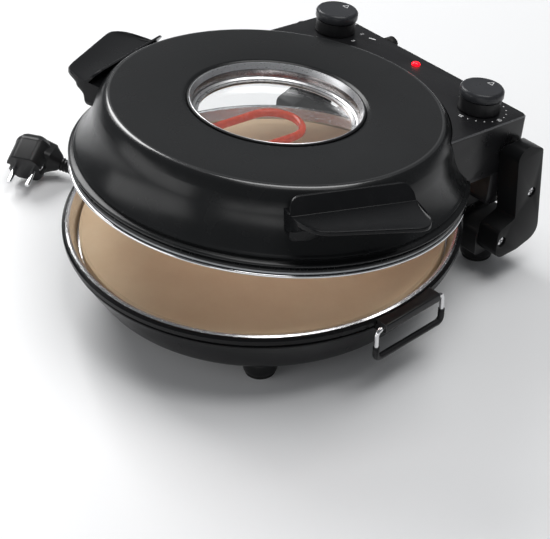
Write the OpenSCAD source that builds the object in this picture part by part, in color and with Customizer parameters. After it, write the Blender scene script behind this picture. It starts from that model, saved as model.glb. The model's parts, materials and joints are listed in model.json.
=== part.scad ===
// Electric pizza maker: round stone-floored base, domed lid with a window, floating rear hinge.
// +X is to the right seen from the front, +Y is to the rear (hinge side), +Z is up.
// The floor is z = 0 and the origin is the middle of the footprint. Millimetres.
// The lid is drawn in its own frame, with z = 0 at its steel lip, and is then set on the hinge.

/* [Overall] */
// Height of the bowl's bottom above the floor
stand_h = 13; // [9:1:22]
// Opening angle at which the lid stands ajar
lid_tilt = 7.765; // [0:0.005:12]
// Travel of the floating hinge from closed to ajar
float_travel = 15.8; // [6:0.1:16]
// Lean of the hinge slot from vertical
slot_lean = 20; // [10:1:25]
// General gap between fixed pieces that are fitted together
fit_gap = 0.15; // [0.1:0.05:0.25]

/* [Base] */
// Radius of the black rim of the base
rim_r = 174.5; // [160:0.5:190]
// Width of the black rim outside the bright lip
rim_w = 4.5; // [4:0.5:8]
// Width of the steel ledge between the bright lip and the stone
ledge_w = 10; // [9:0.5:12]
// Depth of the bowl below the rim
bowl_depth = 57; // [52:1:58]
// Thickness of the base shell
base_wall = 1.2; // [1:0.1:2]
// Thickness of the steel liner
liner_wall = 0.8; // [0.6:0.1:1]
// Width of the bowl outside the flat of its bottom
bowl_curve_w = 44.5; // [40:0.5:50]
// Width of the bowl outside the bottom cover
cover_in = 62.5; // [62:0.5:70]

/* [Stone and heaters] */
// Thickness of the pizza stone
stone_t = 12; // [10:0.5:13]
// Depth of the stone's top below the rim
stone_drop = 7; // [6:0.5:8]
// Diameter of the heater tubes
heater_d = 7; // [6:0.5:8]
// Radius of the lower heater loop
lower_loop_r = 105; // [90:1:120]
// Radius of the upper heater loop
upper_loop_r = 112; // [104:1:118]
// Half width of the hairpin seen through the window
hairpin_r = 24; // [18:1:28]

/* [Lid] */
// Height of the lid above its lip
lid_h = 65.5; // [60:0.5:70]
// Overhang of the lid's ring beyond the liner's lip
lid_over = 2; // [1:0.5:3]
// Radius of the lid's flat top
top_r = 141.3; // [136:0.1:144]
// Thickness of the lid shell
lid_wall = 1.2; // [1:0.1:2]
// Outer radius of the window trim
window_r = 73.8; // [66:0.2:80]
// Thickness of the window glass
glass_t = 4; // [3:0.5:5]

/* [Lid handles] */
// Angle of each handle forward of the side of the lid
handle_turn = 18.5; // [10:0.5:25]
// Length of the handle plate
handle_len = 108; // [90:1:120]
// Distance of the plate's outer face beyond the lid's slope, at the plate's screws
handle_out = 2.55; // [2:0.01:6]
// Height of the plate above its lower edge
handle_h = 36; // [28:1:38]
// Reach of the tongue beyond the plate
tongue_reach = 42; // [30:1:48]
// Thickness of the tongue
tongue_t = 7; // [5:0.5:9]

/* [Control housing] */
// Width of the control housing
house_w = 244; // [236:1:245]
// Gap between a control drum and the housing's wall along the lid's slope
drum_gap = 3.04; // [1:0.01:5]
// Height of the housing's top above the lip
house_top = 58.25; // [54:0.25:60]
// Height of the housing's underside above the lip
house_low = 8.75; // [7:0.25:10]
// Wall of the housing
house_wall = 2.5; // [2:0.1:3]
// Distance of each knob from the middle
knob_x = 91; // [80:1:94]
// Distance of the knobs in front of the housing's rear face
knob_in = 30; // [27:1:32]
// Radius of a knob
knob_r = 19.5; // [16:0.5:21]
// Height of a knob
knob_h = 21; // [16:1:24]
// Radius of a knob shaft
shaft_r = 3; // [2.5:0.1:3.5]

/* [Hinge] */
// Radius of the hinge rod
rod_r = 3; // [2.5:0.1:3.5]
// Running clearance on the rod
rod_gap = 0.05; // [0.02:0.01:0.1]
// Distance of the hinge rod behind the lid's ring
pin_out = 7.9; // [6:0.1:10]
// Depth of the hinge rod below the lid's lip
pin_drop = 5.55; // [4:0.05:7]
// Height of the lip above the rim when the lid is shut
shut_gap = 2; // [1.8:0.1:3]
// Gap between the control housing and a hinge arm
arm_gap = 2; // [1.5:0.5:4]
// Thickness of a hinge arm
arm_t = 22; // [20:0.5:26]
// Radius of the sliding bushes
bush_r = 6; // [5:0.1:7]

/* [Bails and feet] */
// Radius of the bail wire
wire_r = 2; // [1.6:0.1:2.4]
// Thickness of the sleeve on the wire
sleeve_t = 0.8; // [0.5:0.1:1]
// Half width of a bail
bail_half = 37.7; // [34:0.1:42]
// Drop of a bail below its pivot
bail_drop = 28.5; // [22:0.5:34]
// Radius of the front feet
foot_r = 16; // [12:1:18]
// Thickness of the rubber pads
pad_t = 3; // [2:0.5:5]

/* [Cord] */
// Diameter of the cord
cord_d = 7.5; // [6.5:0.1:8]
// Middle radius of the coil's outer turn
coil_r = 45; // [42:1:48]
// Step of the coil's spiral for each turn
coil_step = 8.6; // [8.5:0.1:10]

/* [Hidden] */
lathe_fn = 144;
hole_fn = 48;
eps = 0.01;

// Height of the rim, radii from the rim inwards, and the lid's ring, which seats over the liner's lip
rim_z = stand_h + bowl_depth;
lip_r = rim_r - rim_w;
stone_r = lip_r - ledge_w;
cover_r = rim_r - cover_in;
lid_ring_r = lip_r + lid_over;
// Control housing, behind the lid's axis: its drums stand clear of the lid's slope
band_h = 7;
drum_r = 17;
drum_h = 24;
drum_top = house_top - house_wall - 0.01;
// Greatest radius of the lid above height z
function lid_r_above(z) = max([for (p = lid_outline()) if (p[1] > z) p[0]]);
knob_y = sqrt(pow(lid_r_above(drum_top - drum_h) + house_wall + drum_gap + drum_r, 2) - knob_x * knob_x);
house_rear = knob_y + knob_in;
pin_y = lid_ring_r + pin_out;
arm_in = house_w / 2 + arm_gap;

// Hinge: where the rod stands when the lid is shut, and when it is ajar
pin_shut = [0, pin_y, rim_z + shut_gap - pin_drop];
float_dir = [0, sin(slot_lean), cos(slot_lean)];
pin_ajar = pin_shut + float_travel * float_dir;

// Rear bumpers, which are the rearmost pieces of the object
bumper_r = 7;
bumper_len = 11;
bumper_x = 52;
bumper_z = house_top - 6.25;
bumper_end = [house_rear + bumper_len - pin_y, bumper_z + bumper_r + pin_drop];
rear_y = pin_ajar[1] + bumper_end[0] * cos(lid_tilt) + bumper_end[1] * sin(lid_tilt);
// The bowl's axis stands forward of the origin, so that the footprint is centred
bowl_y = -(rear_y - rim_r) / 2;
echo(bowl_y = bowl_y, pin_ajar = pin_ajar + [0, bowl_y, 0], axis_tilt = [0, sin(lid_tilt), cos(lid_tilt)]);

// ---------- outline helpers ----------
function reversed(v) = [for (i = [len(v) - 1:-1:0]) v[i]];
function bezier(a, b, c, n) =
    [for (i = [0:n]) let (t = i / n) (1 - t) * (1 - t) * a + 2 * t * (1 - t) * b + t * t * c];
function outward(p, i) = let (d = p[min(i + 1, len(p) - 1)] - p[max(i - 1, 0)]) [d[1], -d[0]] / norm(d);
// Outline moved to its left side by w: inwards for an outline that runs upwards
function inset(p, w) = [for (i = [0:len(p) - 1]) p[i] - w * outward(p, i)];
function shell_outline(p, w) = concat(p, reversed(inset(p, w)));
// Corner i of polygon p, rounded by radius r with n steps
function round_corner(p, i, r, n) =
    let (a = p[(i + len(p) - 1) % len(p)], b = p[i], c = p[(i + 1) % len(p)],
        u = (a - b) / norm(a - b), v = (c - b) / norm(c - b),
        half = acos(u * v) / 2, m = (u + v) / norm(u + v),
        centre = b + m * r / sin(half),
        s = b + u * r / tan(half) - centre, e = b + v * r / tan(half) - centre,
        turn = (s[0] * e[1] - s[1] * e[0] > 0 ? 1 : -1) * (180 - 2 * half),
        start = atan2(s[1], s[0]))
    [for (k = [0:n]) centre + r * [cos(start + turn * k / n), sin(start + turn * k / n)]];
// Polygon whose corners [x, y, r] are rounded
function rounded(p, n = 5) =
    let (q = [for (c = p) [c[0], c[1]]])
    [for (i = [0:len(p) - 1]) each (p[i][2] > 0 ? round_corner(q, i, p[i][2], n) : [q[i]])];

// ---------- solid helpers ----------
module lathe(outline) rotate_extrude($fn = lathe_fn) polygon(outline);
module rod(r, h, fn = hole_fn) cylinder(r = r, h = h, $fn = fn);
module along_x(x0, x1) translate([x0, 0, 0]) rotate([90, 0, 90]) linear_extrude(x1 - x0) children();
module along_y(y0, y1) translate([0, y1, 0]) rotate([90, 0, 0]) linear_extrude(y1 - y0) children();
module rod_x(x0, x1, y, z, r) translate([x0, y, z]) rotate([0, 90, 0]) rod(r, x1 - x0);
module rod_y(y0, y1, x, z, r) translate([x, y0, z]) rotate([-90, 0, 0]) rod(r, y1 - y0);
// Part of a ring of tube of radius r on a circle of radius R in the XY plane
module ring_arc(R, r, from, sweep, lap = 0) rotate([0, 0, from - lap]) rotate_extrude(angle = sweep + 2 * lap, $fn = 96)
    translate([R, 0]) circle(r = r, $fn = 24);
// Both sides of the object
module both_sides() { children(); mirror([1, 0, 0]) children(); }
// Frames: the base stands on the floor, and the lid hangs on its hinge
module on_base() translate([0, bowl_y, 0]) children();
module on_rim() translate([0, bowl_y, rim_z]) children();
module on_lid() translate([0, bowl_y, 0] + pin_ajar) rotate([-lid_tilt, 0, 0])
    translate([0, -pin_y, pin_drop]) children();

// ---------- base ----------
// Outline of the bowl from its bottom to the rim, with z = 0 at the rim
function bowl_outline() = concat(
    [[cover_r - 12, -bowl_depth]],
    bezier([rim_r - bowl_curve_w, -bowl_depth], [rim_r - 27.5, -bowl_depth + 2.5], [rim_r - 21, -bowl_depth + 12], 6),
    bezier([rim_r - 18.5, -bowl_depth + 16], [rim_r - 11, -bowl_depth / 2], [rim_r - 3.5, -12.4], 6),
    [[rim_r - 2.2, -11.5], [rim_r - 2.2, -10.2], [rim_r - 3.5, -9.4], [rim_r - 3.3, -8.2],
     [rim_r - 1.3, -7.4], [rim_r, -6], [rim_r, -2.4], [rim_r - 1.8, -0.7], [lip_r + 1.3, -0.7]]);
// The bowl as one solid, grown by a gap, to cut what is fitted to it
module bowl_solid(gap) lathe(concat([[0, -bowl_depth - gap]], inset(bowl_outline(), -gap), [[0, 2]]));
// Strain relief: its root behind the bowl's lower wall, and its axis, which dips to the rear
relief_x = 20;
relief_r = 6.2;
relief_in = 8;
relief_len = 36;
relief_dip = 20;
relief_root = [relief_x, rim_r - 27.5, stand_h + 8];
relief_dir = [0, cos(relief_dip), -sin(relief_dip)];
module on_relief() translate(relief_root) rotate([-90 - relief_dip, 0, 0]) children();

module base_shell() color("#1c1c1e") on_rim() difference() {
    lathe(shell_outline(bowl_outline(), base_wall));
    translate([0, 0, -rim_z]) on_relief() translate([0, 0, -relief_in - 4]) rod(relief_r + fit_gap, 40);
}
cover_t = 1.2;
cover_screw_r = cover_r - 6;
module bottom_cover() color("#8b8d90") on_rim() translate([0, 0, -bowl_depth - cover_t - eps]) difference() {
    rod(cover_r, cover_t, lathe_fn);
    for (a = [0:90:270]) rotate([0, 0, a]) translate([cover_screw_r, 0, -1]) rod(2.1, 4);
}
module cover_screws() color("#b9bbbe") on_rim() for (a = [0:90:270])
    rotate([0, 0, a]) translate([cover_screw_r, 0, -bowl_depth - cover_t - 1.6]) {
        rod(3.8, 1.6 - eps);
        rod(2, 1.6 + cover_t - eps);
    }

// ---------- liner, stone, lower heater ----------
seat_z = -stone_drop - stone_t;
pan_r = stone_r - 24;
pan_z = -bowl_depth + 15;
function liner_outline() = concat(
    [[0, pan_z]],
    bezier([pan_r - 6, pan_z], [pan_r + 1, pan_z], [pan_r + 4, pan_z + 8], 4),
    [[stone_r - 12, seat_z - liner_wall - 3], [stone_r - 9.5, seat_z - liner_wall],
     [stone_r + 2, seat_z - liner_wall], [stone_r + 2.6, seat_z + 5], [stone_r + 4, -9],
     [lip_r - 2.2, -2.2], [lip_r - 1.6, -0.9], [lip_r - 0.2, -0.4], [lip_r + 1, -1.1]]);
module steel_liner() color("#c9cbcd") on_rim() difference() {
    lathe(concat(liner_outline(), reversed(inset(liner_outline(), liner_wall))));
    for (s = [-1, 1]) rod_y(pan_r - 16, pan_r + 14, s * heater_end_x, lower_heater_z, heater_d / 2 + 1);
}
module pizza_stone() color("#d9c7a8") on_rim() lathe([[0, seat_z + eps], [stone_r - 1.5, seat_z + eps],
    [stone_r, seat_z + 1.5], [stone_r, -stone_drop - 2], [stone_r - 2, -stone_drop], [0, -stone_drop]]);

heater_r = heater_d / 2;
lower_heater_z = pan_z + 11.5;
heater_end_x = 12;
module lower_heater() color("#6d6f73") on_rim() translate([0, 0, lower_heater_z]) {
    gap_angle = asin(heater_end_x / lower_loop_r);
    ring_arc(lower_loop_r, heater_r, 90 + gap_angle, 360 - 2 * gap_angle);
    for (s = [-1, 1]) translate([0, 0, -lower_heater_z])
        rod_y(lower_loop_r * cos(gap_angle), pan_r + 16, s * heater_end_x, lower_heater_z, heater_r);
}
module clip(z_foot, z_tube) {
    foot = min(z_foot, z_tube);
    translate([-5, -3, foot]) cube([10, 6, abs(z_tube - z_foot) - heater_r - 0.05]);
}
module lower_heater_clips() color("#b9bbbe") on_rim() for (a = [30:100:330]) rotate([0, 0, a])
    translate([lower_loop_r, 0, 0]) clip(pan_z + liner_wall + 0.02, lower_heater_z);
module terminal_block() color("#e8e2d4") on_rim() translate([relief_x - 20, pan_r - 44, -bowl_depth + base_wall + 0.1])
    difference() {
        cube([40, 18, 11.5]);
        for (x = [8:12:32]) translate([x, 9, 4]) rod(2.4, 20);
    }

// ---------- feet ----------
foot_ring_r = rim_r - bowl_curve_w - 1;
foot_turn = 42.17;
front_foot = foot_ring_r * [cos(foot_turn), -sin(foot_turn)];
rear_foot_r = 16.5;
bracket_low = -bowl_depth + 7;
bracket_w = 38;
bracket_in = arm_in - bracket_w;
rear_foot = [bracket_in + 17.6, pin_y - 11.9];
module foot_taper(r, h) rotate_extrude($fn = 72) polygon([[0, pad_t], [r - 2.5, pad_t], [r - 1.5, pad_t + 1],
    [r, h], [0, h]]);
module front_feet() color("#1f1f21") both_sides() difference() {
    on_base() translate([front_foot[0], front_foot[1], 0]) foot_taper(foot_r, stand_h + 15);
    on_rim() bowl_solid(fit_gap);
}
module rear_feet() color("#1f1f21") on_base() both_sides()
    translate([rear_foot[0], rear_foot[1], 0]) foot_taper(rear_foot_r, rim_z + bracket_low - eps);
module foot_pads() color("#111112") on_base() both_sides() {
    translate([front_foot[0], front_foot[1], 0]) rod(foot_r - 3, pad_t - eps);
    translate([rear_foot[0], rear_foot[1], 0]) rod(rear_foot_r - 3, pad_t - eps);
}

// ---------- rear brackets and hinge arms ----------
hinge_back = 10.1;
bracket_wall = 12;
bracket_top = -16;
pocket_low = -23;
bracket_back = pin_y + hinge_back;
bracket_mid = pin_y - 37.9;
bracket_screw = [pin_y - 15.9, -19.6];
screw_low = [pin_y - 28.7, -26.3];
screw_high = [pin_ajar[1], pin_ajar[2] - rim_z];
screw_r = 2;
screw_head_r = 4;
recess_deep = 4;
// Bracket from the bowl to the hinge arm: an inner wall, and a block under the lug's pocket
module bracket() on_rim() difference() {
    union() {
        along_x(bracket_in, bracket_in + bracket_wall) polygon(rounded([[bracket_mid - 42, bracket_low + 14, 0],
            [bracket_mid - 2, bracket_low, 8], [bracket_back, bracket_low, 6], [bracket_back, bracket_top, 6],
            [bracket_mid - 42, bracket_top, 0]]));
        along_x(bracket_in, arm_in - fit_gap) polygon(rounded([[bracket_mid, bracket_low, 4],
            [bracket_back, bracket_low, 6], [bracket_back, pocket_low, 3], [bracket_mid, pocket_low, 5]]));
    }
    bowl_solid(fit_gap);
    rod_x(arm_in - 14, arm_in + 1, screw_low[0], screw_low[1], screw_r + 0.1);
    rod_x(bracket_in + 2, bracket_in + 20, bracket_screw[0], bracket_screw[1], 1.6);
}
module bracket_right() color("#1b1b1d") bracket();
module bracket_left() color("#1b1b1d") mirror([1, 0, 0]) bracket();

arm_out = arm_in + arm_t;
slot_deep = 12;
slot_gap = 0.3;
// The slot's flat sides stand just inside its round ends, so that no faces are tangent
slot_flat = bush_r + slot_gap - 0.02;
arm_top = pin_ajar[2] - rim_z + 57.7;
arm_side = [[pin_y - 17.4, arm_top, 11], [pin_y + 14.9, arm_top - 15.5, 5], [pin_y + 19, -39, 13],
            [pin_y - 7.9, -44, 12], [pin_y - 36.9, -42.5, 10], [pin_y - 34.4, -13.4, 6], [pin_y - 13.9, -8.2, 3]];
module hinge_arm() on_rim() difference() {
    along_x(arm_in, arm_out) polygon(rounded(arm_side));
    // rounded inner edge at the top, which the opening lid swings past
    along_y(pin_y - 80, pin_y + 60) polygon([[arm_in - 1, arm_top - 20], [arm_in + 1.6, arm_top - 13],
        [arm_in + 5.5, arm_top - 8.7], [arm_in + 11, arm_top - 5.8], [arm_in + 11, arm_top + 11],
        [arm_in - 1, arm_top + 11]]);
    // slot that the hinge bush slides in, from shut to ajar
    translate([0, 0, -rim_z]) {
        for (p = [pin_shut, pin_ajar]) rod_x(arm_in - 1, arm_in + slot_deep, p[1], p[2], bush_r + slot_gap);
        translate([arm_in - 1, pin_shut[1], pin_shut[2]]) rotate([-slot_lean, 0, 0])
            translate([0, -slot_flat, 0]) cube([slot_deep + 1, 2 * slot_flat, float_travel]);
    }
    for (s = [screw_low, screw_high])
        rod_x(arm_out - recess_deep, arm_out + 1, s[0], s[1], screw_head_r + 1);
    rod_x(arm_in - 1, arm_out, screw_low[0], screw_low[1], screw_r + 0.1);
    rod_x(arm_in + slot_deep + 1.5, arm_out, screw_high[0], screw_high[1], screw_r + 0.1);
}
module arm_right() color("#232326") hinge_arm();
module arm_left() color("#232326") mirror([1, 0, 0]) hinge_arm();

module screw_x(tip, y, z) {
    head = arm_out - recess_deep + eps;
    rod_x(tip, head, y, z, screw_r);
    difference() {
        rod_x(head, head + 2.2, y, z, screw_head_r);
        for (a = [0, 90]) translate([head + 2.2, y, z]) rotate([a, 0, 0]) cube([2, 5, 1], center = true);
    }
}
module hinge_screws() color("#c4c6c8") on_rim() both_sides() {
    screw_x(arm_in - 13, screw_low[0], screw_low[1]);
    screw_x(arm_in + slot_deep + 2, screw_high[0], screw_high[1]);
    rod_x(bracket_in + 3, bracket_in + bracket_wall + eps, bracket_screw[0], bracket_screw[1], 1.5);
    rod_x(bracket_in + bracket_wall + eps, bracket_in + bracket_wall + 0.7, bracket_screw[0],
        bracket_screw[1], 3);
}
rod_end = arm_in + slot_deep - 0.5;
module hinge_rod() color("#b9bbbe") translate([0, bowl_y, 0]) rod_x(-rod_end, rod_end, pin_ajar[1], pin_ajar[2], rod_r);
module hinge_bushes() color("#d8d6cf") translate([0, bowl_y, 0]) both_sides() difference() {
    rod_x(arm_in + 0.5, rod_end, pin_ajar[1], pin_ajar[2], bush_r);
    rod_x(arm_in, rod_end + 1, pin_ajar[1], pin_ajar[2], rod_r + eps);
}

// ---------- side bails ----------
bail_y = 3;
bail_x = rim_r + 4.5;
bail_z = -6;
bail_plate_half = 31;
bail_plate_out = rim_r + 8.5;
bail_plate_in = rim_r - 14.5;
bail_bend = 5;
bail_pin_in = 8;
module bail_bracket() on_rim() difference() {
    translate([0, bail_y, 0]) along_y(-bail_plate_half, bail_plate_half) polygon(rounded([
        [bail_plate_in, -1.2, 0], [bail_plate_in, -14, 0], [bail_plate_out - 6, -11, 4],
        [bail_plate_out, -9, 2.5], [bail_plate_out, -1.2, 1.5]]));
    bowl_solid(fit_gap);
    for (s = [-1, 1]) translate([0, bail_y + s * bail_plate_half, 0])
        rod_y(-bail_pin_in - 1, bail_pin_in + 1, bail_x, bail_z, wire_r + rod_gap);
}
module bail_bracket_right() color("#1b1b1d") bail_bracket();
module bail_bracket_left() color("#1b1b1d") mirror([1, 0, 0]) bail_bracket();
// Half of the bail's path as a tube of radius r: pin, bend, leg, bend, half of the grip
module bail_tube(r, leg_from, with_pin) for (s = [-1, 1]) translate([bail_x, bail_y, bail_z])
    scale([1, s, 1]) {
        corner = bail_half - bail_bend;
        if (with_pin) {
            rod_y(bail_plate_half - bail_pin_in, corner, 0, 0, r);
            translate([0, corner, -bail_bend]) rotate([90, 0, 90]) ring_arc(bail_bend, r, 0, 90);
        }
        translate([0, bail_half, -bail_drop + bail_bend]) rod(r, bail_drop - bail_bend - leg_from, 24);
        translate([0, corner, -bail_drop + bail_bend]) rotate([90, 0, 90]) ring_arc(bail_bend, r, -90, 90);
        rod_y(0, corner, 0, -bail_drop, r);
    }
module bail_wire() on_rim() bail_tube(wire_r, bail_bend, true);
module bail_sleeve() on_rim() difference() {
    bail_tube(wire_r + sleeve_t, bail_bend + 11, false);
    bail_tube(wire_r + 0.02, bail_bend, false);
}
module bail_wire_right() color("#d0d2d4") bail_wire();
module bail_wire_left() color("#d0d2d4") mirror([1, 0, 0]) bail_wire();
module bail_sleeve_right() color("#161617") bail_sleeve();
module bail_sleeve_left() color("#161617") mirror([1, 0, 0]) bail_sleeve();

// ---------- lid ----------
function lid_outline() = concat(
    [[lid_ring_r - 3.4, band_h + eps], [lid_ring_r - 1.8, band_h + eps], [lid_ring_r - 1.6, band_h + 1.6],
     [lid_ring_r - 0.3, band_h + 2.6], [lid_ring_r - 0.1, band_h + 3.7], [lid_ring_r - 0.8, band_h + 4.8],
     [lid_ring_r - 3.6, band_h + 6], [lid_ring_r - 5.2, band_h + 7.6], [lid_ring_r - 5.4, band_h + 9.2]],
    bezier([lid_ring_r - 6, band_h + 11], [lid_ring_r - 15.5, band_h + 23], [top_r + 12, lid_h - 19], 7),
    bezier([top_r + 9.5, lid_h - 11], [top_r + 6.5, lid_h], [top_r, lid_h], 6));
// Radius of the lid at height z
function lid_r_at(z) = lookup(z, [for (p = lid_outline()) if (p[1] > 2 * band_h) [p[1], p[0]]]);
handle_low = lid_h - 38;
handle_screw_z = handle_low + 14;
window_hole_r = window_r - 2.4;
window_z = lid_h - 2.35;
function lid_top() = [[window_r + 3, window_z + 0.2], [window_hole_r, window_z]];
// The lid as one solid, grown by a gap, to cut what is fitted to it
module lid_solid(gap) lathe(concat([[0, -1]], [[lid_ring_r + gap, -1]], [[lid_ring_r + gap, band_h]],
    inset(lid_outline(), -gap), [[0, lid_h + gap]]));
module lid_shell() color("#26272a") on_lid() difference() {
    lathe(shell_outline(concat(lid_outline(), lid_top()), lid_wall));
    handle_screw_places() rod(screw_r + 0.2, 40);
}
ring_lip_w = 8;
ring_lip_t = 0.8;
ring_wall = 1.4;
module lid_ring() color("#a9abae") on_lid() lathe([[lid_ring_r - ring_lip_w, -ring_lip_t], [lid_ring_r - 0.6, -ring_lip_t],
    [lid_ring_r, -0.2], [lid_ring_r, 0.6], [lid_ring_r - 1.2, 1.4], [lid_ring_r - 1.2, band_h],
    [lid_ring_r - 1.2 - ring_wall, band_h], [lid_ring_r - 1.2 - ring_wall, 0.9],
    [lid_ring_r - ring_lip_w, 0.9]]);
liner_top = lid_h - 19;
// The liner stands this far inside the lid's slope, which leaves room for the handles' screws
liner_inset = 9.45;
liner_side = lid_r_at(handle_screw_z) - liner_inset;
trim_wall_r = window_r - 7.8;
function lid_liner_outline() = concat([[lid_ring_r - 4, 0.9 + eps], [lid_ring_r - ring_lip_w - 1, 0.9 + eps]],
    bezier([lid_ring_r - 14, 3], [lid_ring_r - 21, 22], [liner_side, liner_top - 6], 5),
    [[liner_side - 3, liner_top - 1.4], [liner_side - 7, liner_top], [trim_wall_r + fit_gap, liner_top]]);
upper_heater_z = liner_top - 6;
module lid_liner() color("#c2c4c6") on_lid() difference() {
    lathe(concat(lid_liner_outline(), reversed(inset(lid_liner_outline(), -liner_wall))));
    for (s = [-1, 1]) rotate([0, 0, 90 + s * upper_end_angle]) translate([upper_loop_r - 12, 0, upper_heater_z])
        rotate([0, 90, 0]) rod(heater_r + 1, 60);
}
module window_trim() color("#cfd1d3") on_lid() lathe([[trim_wall_r - 5, window_z - 12.5],
    [trim_wall_r - 1.2, window_z - 12.5], [trim_wall_r - 1.2, liner_top - 1], [trim_wall_r, liner_top - 1],
    [trim_wall_r, window_z + eps], [window_r, window_z + 0.1], [window_r, window_z + 0.9],
    [window_r - 1, window_z + 1.6], [trim_wall_r + 1, window_z + 1.6], [trim_wall_r - 1.2, window_z - 0.6],
    [trim_wall_r - 1.2, window_z - 11.5], [trim_wall_r - 5, window_z - 11.5]]);
module window_glass() color("#bfe3e8", 0.35) on_lid() translate([0, 0, window_z - 11.5 + eps])
    rod(trim_wall_r - 1.2 - fit_gap, glass_t, lathe_fn);

// Upper heater: one tube, a wide loop whose front folds inwards as a hairpin under the window
upper_end_angle = 8;
fold_r = 16;
end_bend_r = 10;
function polar(r, a) = r * [cos(a), sin(a)];
function arc_points(c, r, a, b, n) = [for (i = [0:n]) c + polar(r, a + (b - a) * i / n)];
// Right half of the tube's path: end, bend, loop, fold and half of the hairpin
function upper_half() =
    let (fold_x = hairpin_r + fold_r, fold_c = upper_loop_r - fold_r,
        fold_y = -sqrt(fold_c * fold_c - fold_x * fold_x), fold_angle = atan2(fold_y, fold_x),
        end_angle = 90 - upper_end_angle, bend_c = upper_loop_r + end_bend_r,
        bend_angle = end_angle - asin(end_bend_r / bend_c))
    concat([polar(liner_side + 1, end_angle)],
        arc_points(polar(bend_c, bend_angle), end_bend_r, end_angle + 90, bend_angle + 180, 5),
        arc_points([0, 0], upper_loop_r, bend_angle - 5, fold_angle + 4, 24),
        arc_points([fold_x, fold_y], fold_r, 360 + fold_angle, 180, 9),
        arc_points([0, 0], hairpin_r, 0, 90, 8));
module upper_heater() color("#7c4a40") on_lid() translate([0, 0, upper_heater_z]) {
    half = upper_half();
    tube(concat([for (p = half) [p[0], p[1], 0]],
        [for (i = [len(half) - 2:-1:0]) [-half[i][0], half[i][1], 0]]), heater_r, 12);
}
module upper_heater_clips() color("#b9bbbe") on_lid() for (a = [-40, 20, 160, 220]) rotate([0, 0, a])
    translate([upper_loop_r - 5, -3, upper_heater_z + heater_r + 0.05])
        cube([10, 6, liner_top - upper_heater_z - heater_r - 0.1]);

// ---------- lid handles ----------
plate_t = 6;
tongue_z = lid_h - 14;
handle_face = lid_r_at(handle_screw_z) + handle_out;
// The screws stand at this distance to each side, and their heads inside the lid's shell
handle_screw_t = handle_len * 0.28;
screw_inset = 7.46;
handle_screw_in = sqrt(pow(lid_r_at(handle_screw_z), 2) - pow(handle_screw_t, 2)) - screw_inset;
module handle_screw_places() for (m = [0, 1]) mirror([m, 0, 0]) rotate([0, 0, -handle_turn])
    for (t = [-1, 1]) translate([handle_screw_in, t * handle_screw_t, handle_screw_z])
        rotate([0, 90, 0]) children();
module lid_handle() on_lid() rotate([0, 0, -handle_turn]) difference() {
    half = handle_len / 2;
    union() {
        along_x(handle_face - plate_t - 10, handle_face) polygon(rounded([[-half, handle_low, 8],
            [half, handle_low, 8], [half, handle_low + handle_h, 10], [-half, handle_low + handle_h, 10]]));
        difference() {
            translate([0, 0, tongue_z - 2 * tongue_t]) linear_extrude(2 * tongue_t) polygon(rounded([
                [handle_face - 4, -half + 1, 0], [handle_face + 12, -half + 1, 8],
                [handle_face + tongue_reach - 15, -half + 11, 14], [handle_face + tongue_reach, half - 10, 12],
                [handle_face + 32, half - 1, 10], [handle_face - 4, half - 1, 0]], 6));
            // hollow under the tongue for the fingers, which leaves it thin
            along_y(-half - 1, half + 1) polygon([[handle_face + 1, 0], [handle_face + 1, tongue_z - 2 * tongue_t + 1],
                [handle_face + 9, tongue_z - tongue_t], [handle_face + tongue_reach + 9, tongue_z - tongue_t + 2.5],
                [handle_face + tongue_reach + 9, 0]]);
        }
    }
    lid_solid(fit_gap);
    for (t = [-1, 1]) translate([handle_screw_in, t * handle_screw_t, handle_screw_z]) rotate([0, 90, 0])
        rod(screw_r + 0.02, handle_face - handle_screw_in - 2);
}
module handle_right() color("#2a2b2e") lid_handle();
module handle_left() color("#2a2b2e") mirror([1, 0, 0]) lid_handle();
module handle_screws() color("#b9bbbe") on_lid() handle_screw_places() {
    rod(screw_r, handle_face - handle_screw_in - 2.5);
    rod(screw_head_r, 2.2);
}

// ---------- control housing ----------
house_half = house_w / 2;
house_front = house_rear - 125;
house_corner = 5;
base_plate_t = 2.5;
module house_block(shrink, z0, z1) translate([0, 0, z0]) linear_extrude(z1 - z0) polygon(rounded([
    [-house_half + shrink, house_front + shrink, 0], [house_half - shrink, house_front + shrink, 0],
    [house_half - shrink, house_rear - shrink, house_corner], [-house_half + shrink, house_rear - shrink,
    house_corner]]));
shaft_hole_r = shaft_r + 1.5;
lamp_y = house_rear - 15;
lamp_r = 4;
module housing_shell() color("#242528") on_lid() difference() {
    union() {
        house_block(0, house_low + base_plate_t + eps, house_top - 1.2);
        house_block(0.9, house_top - 1.3, house_top);
    }
    difference() {
        house_block(house_wall, house_low, house_top - house_wall);
        lid_solid(fit_gap + house_wall);
    }
    lid_solid(fit_gap);
    for (s = [-1, 1]) translate([s * knob_x, knob_y, 0]) rod(shaft_hole_r, 100);
    translate([0, lamp_y, 0]) rod(lamp_r + eps, 100);
}
module housing_base() color("#1b1b1d") on_lid() difference() {
    house_block(0, house_low, house_low + base_plate_t);
    lid_solid(fit_gap);
}
lug_w = 21;
lug_out = arm_in - 4;
lug_in = lug_out - lug_w;
lug_foot = 13.65;
lug_low = -pin_drop - lug_foot;
lug_front = 25.9;
lug_toe = 13.9;
module hinge_lugs() color("#1b1b1d") on_lid() both_sides() difference() {
    along_x(lug_in, lug_out) polygon(rounded([[pin_y - lug_front, house_low - eps, 0],
        [pin_y - lug_front, lug_low + 8.2, 4], [pin_y - lug_toe, lug_low, 5], [pin_y + hinge_back, lug_low, 8],
        [pin_y + hinge_back, house_low - 14, 5], [house_rear, house_low - eps, 0]]));
    rod_x(lug_in - 1, lug_out + 1, pin_y, -pin_drop, rod_r + rod_gap);
}
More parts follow.
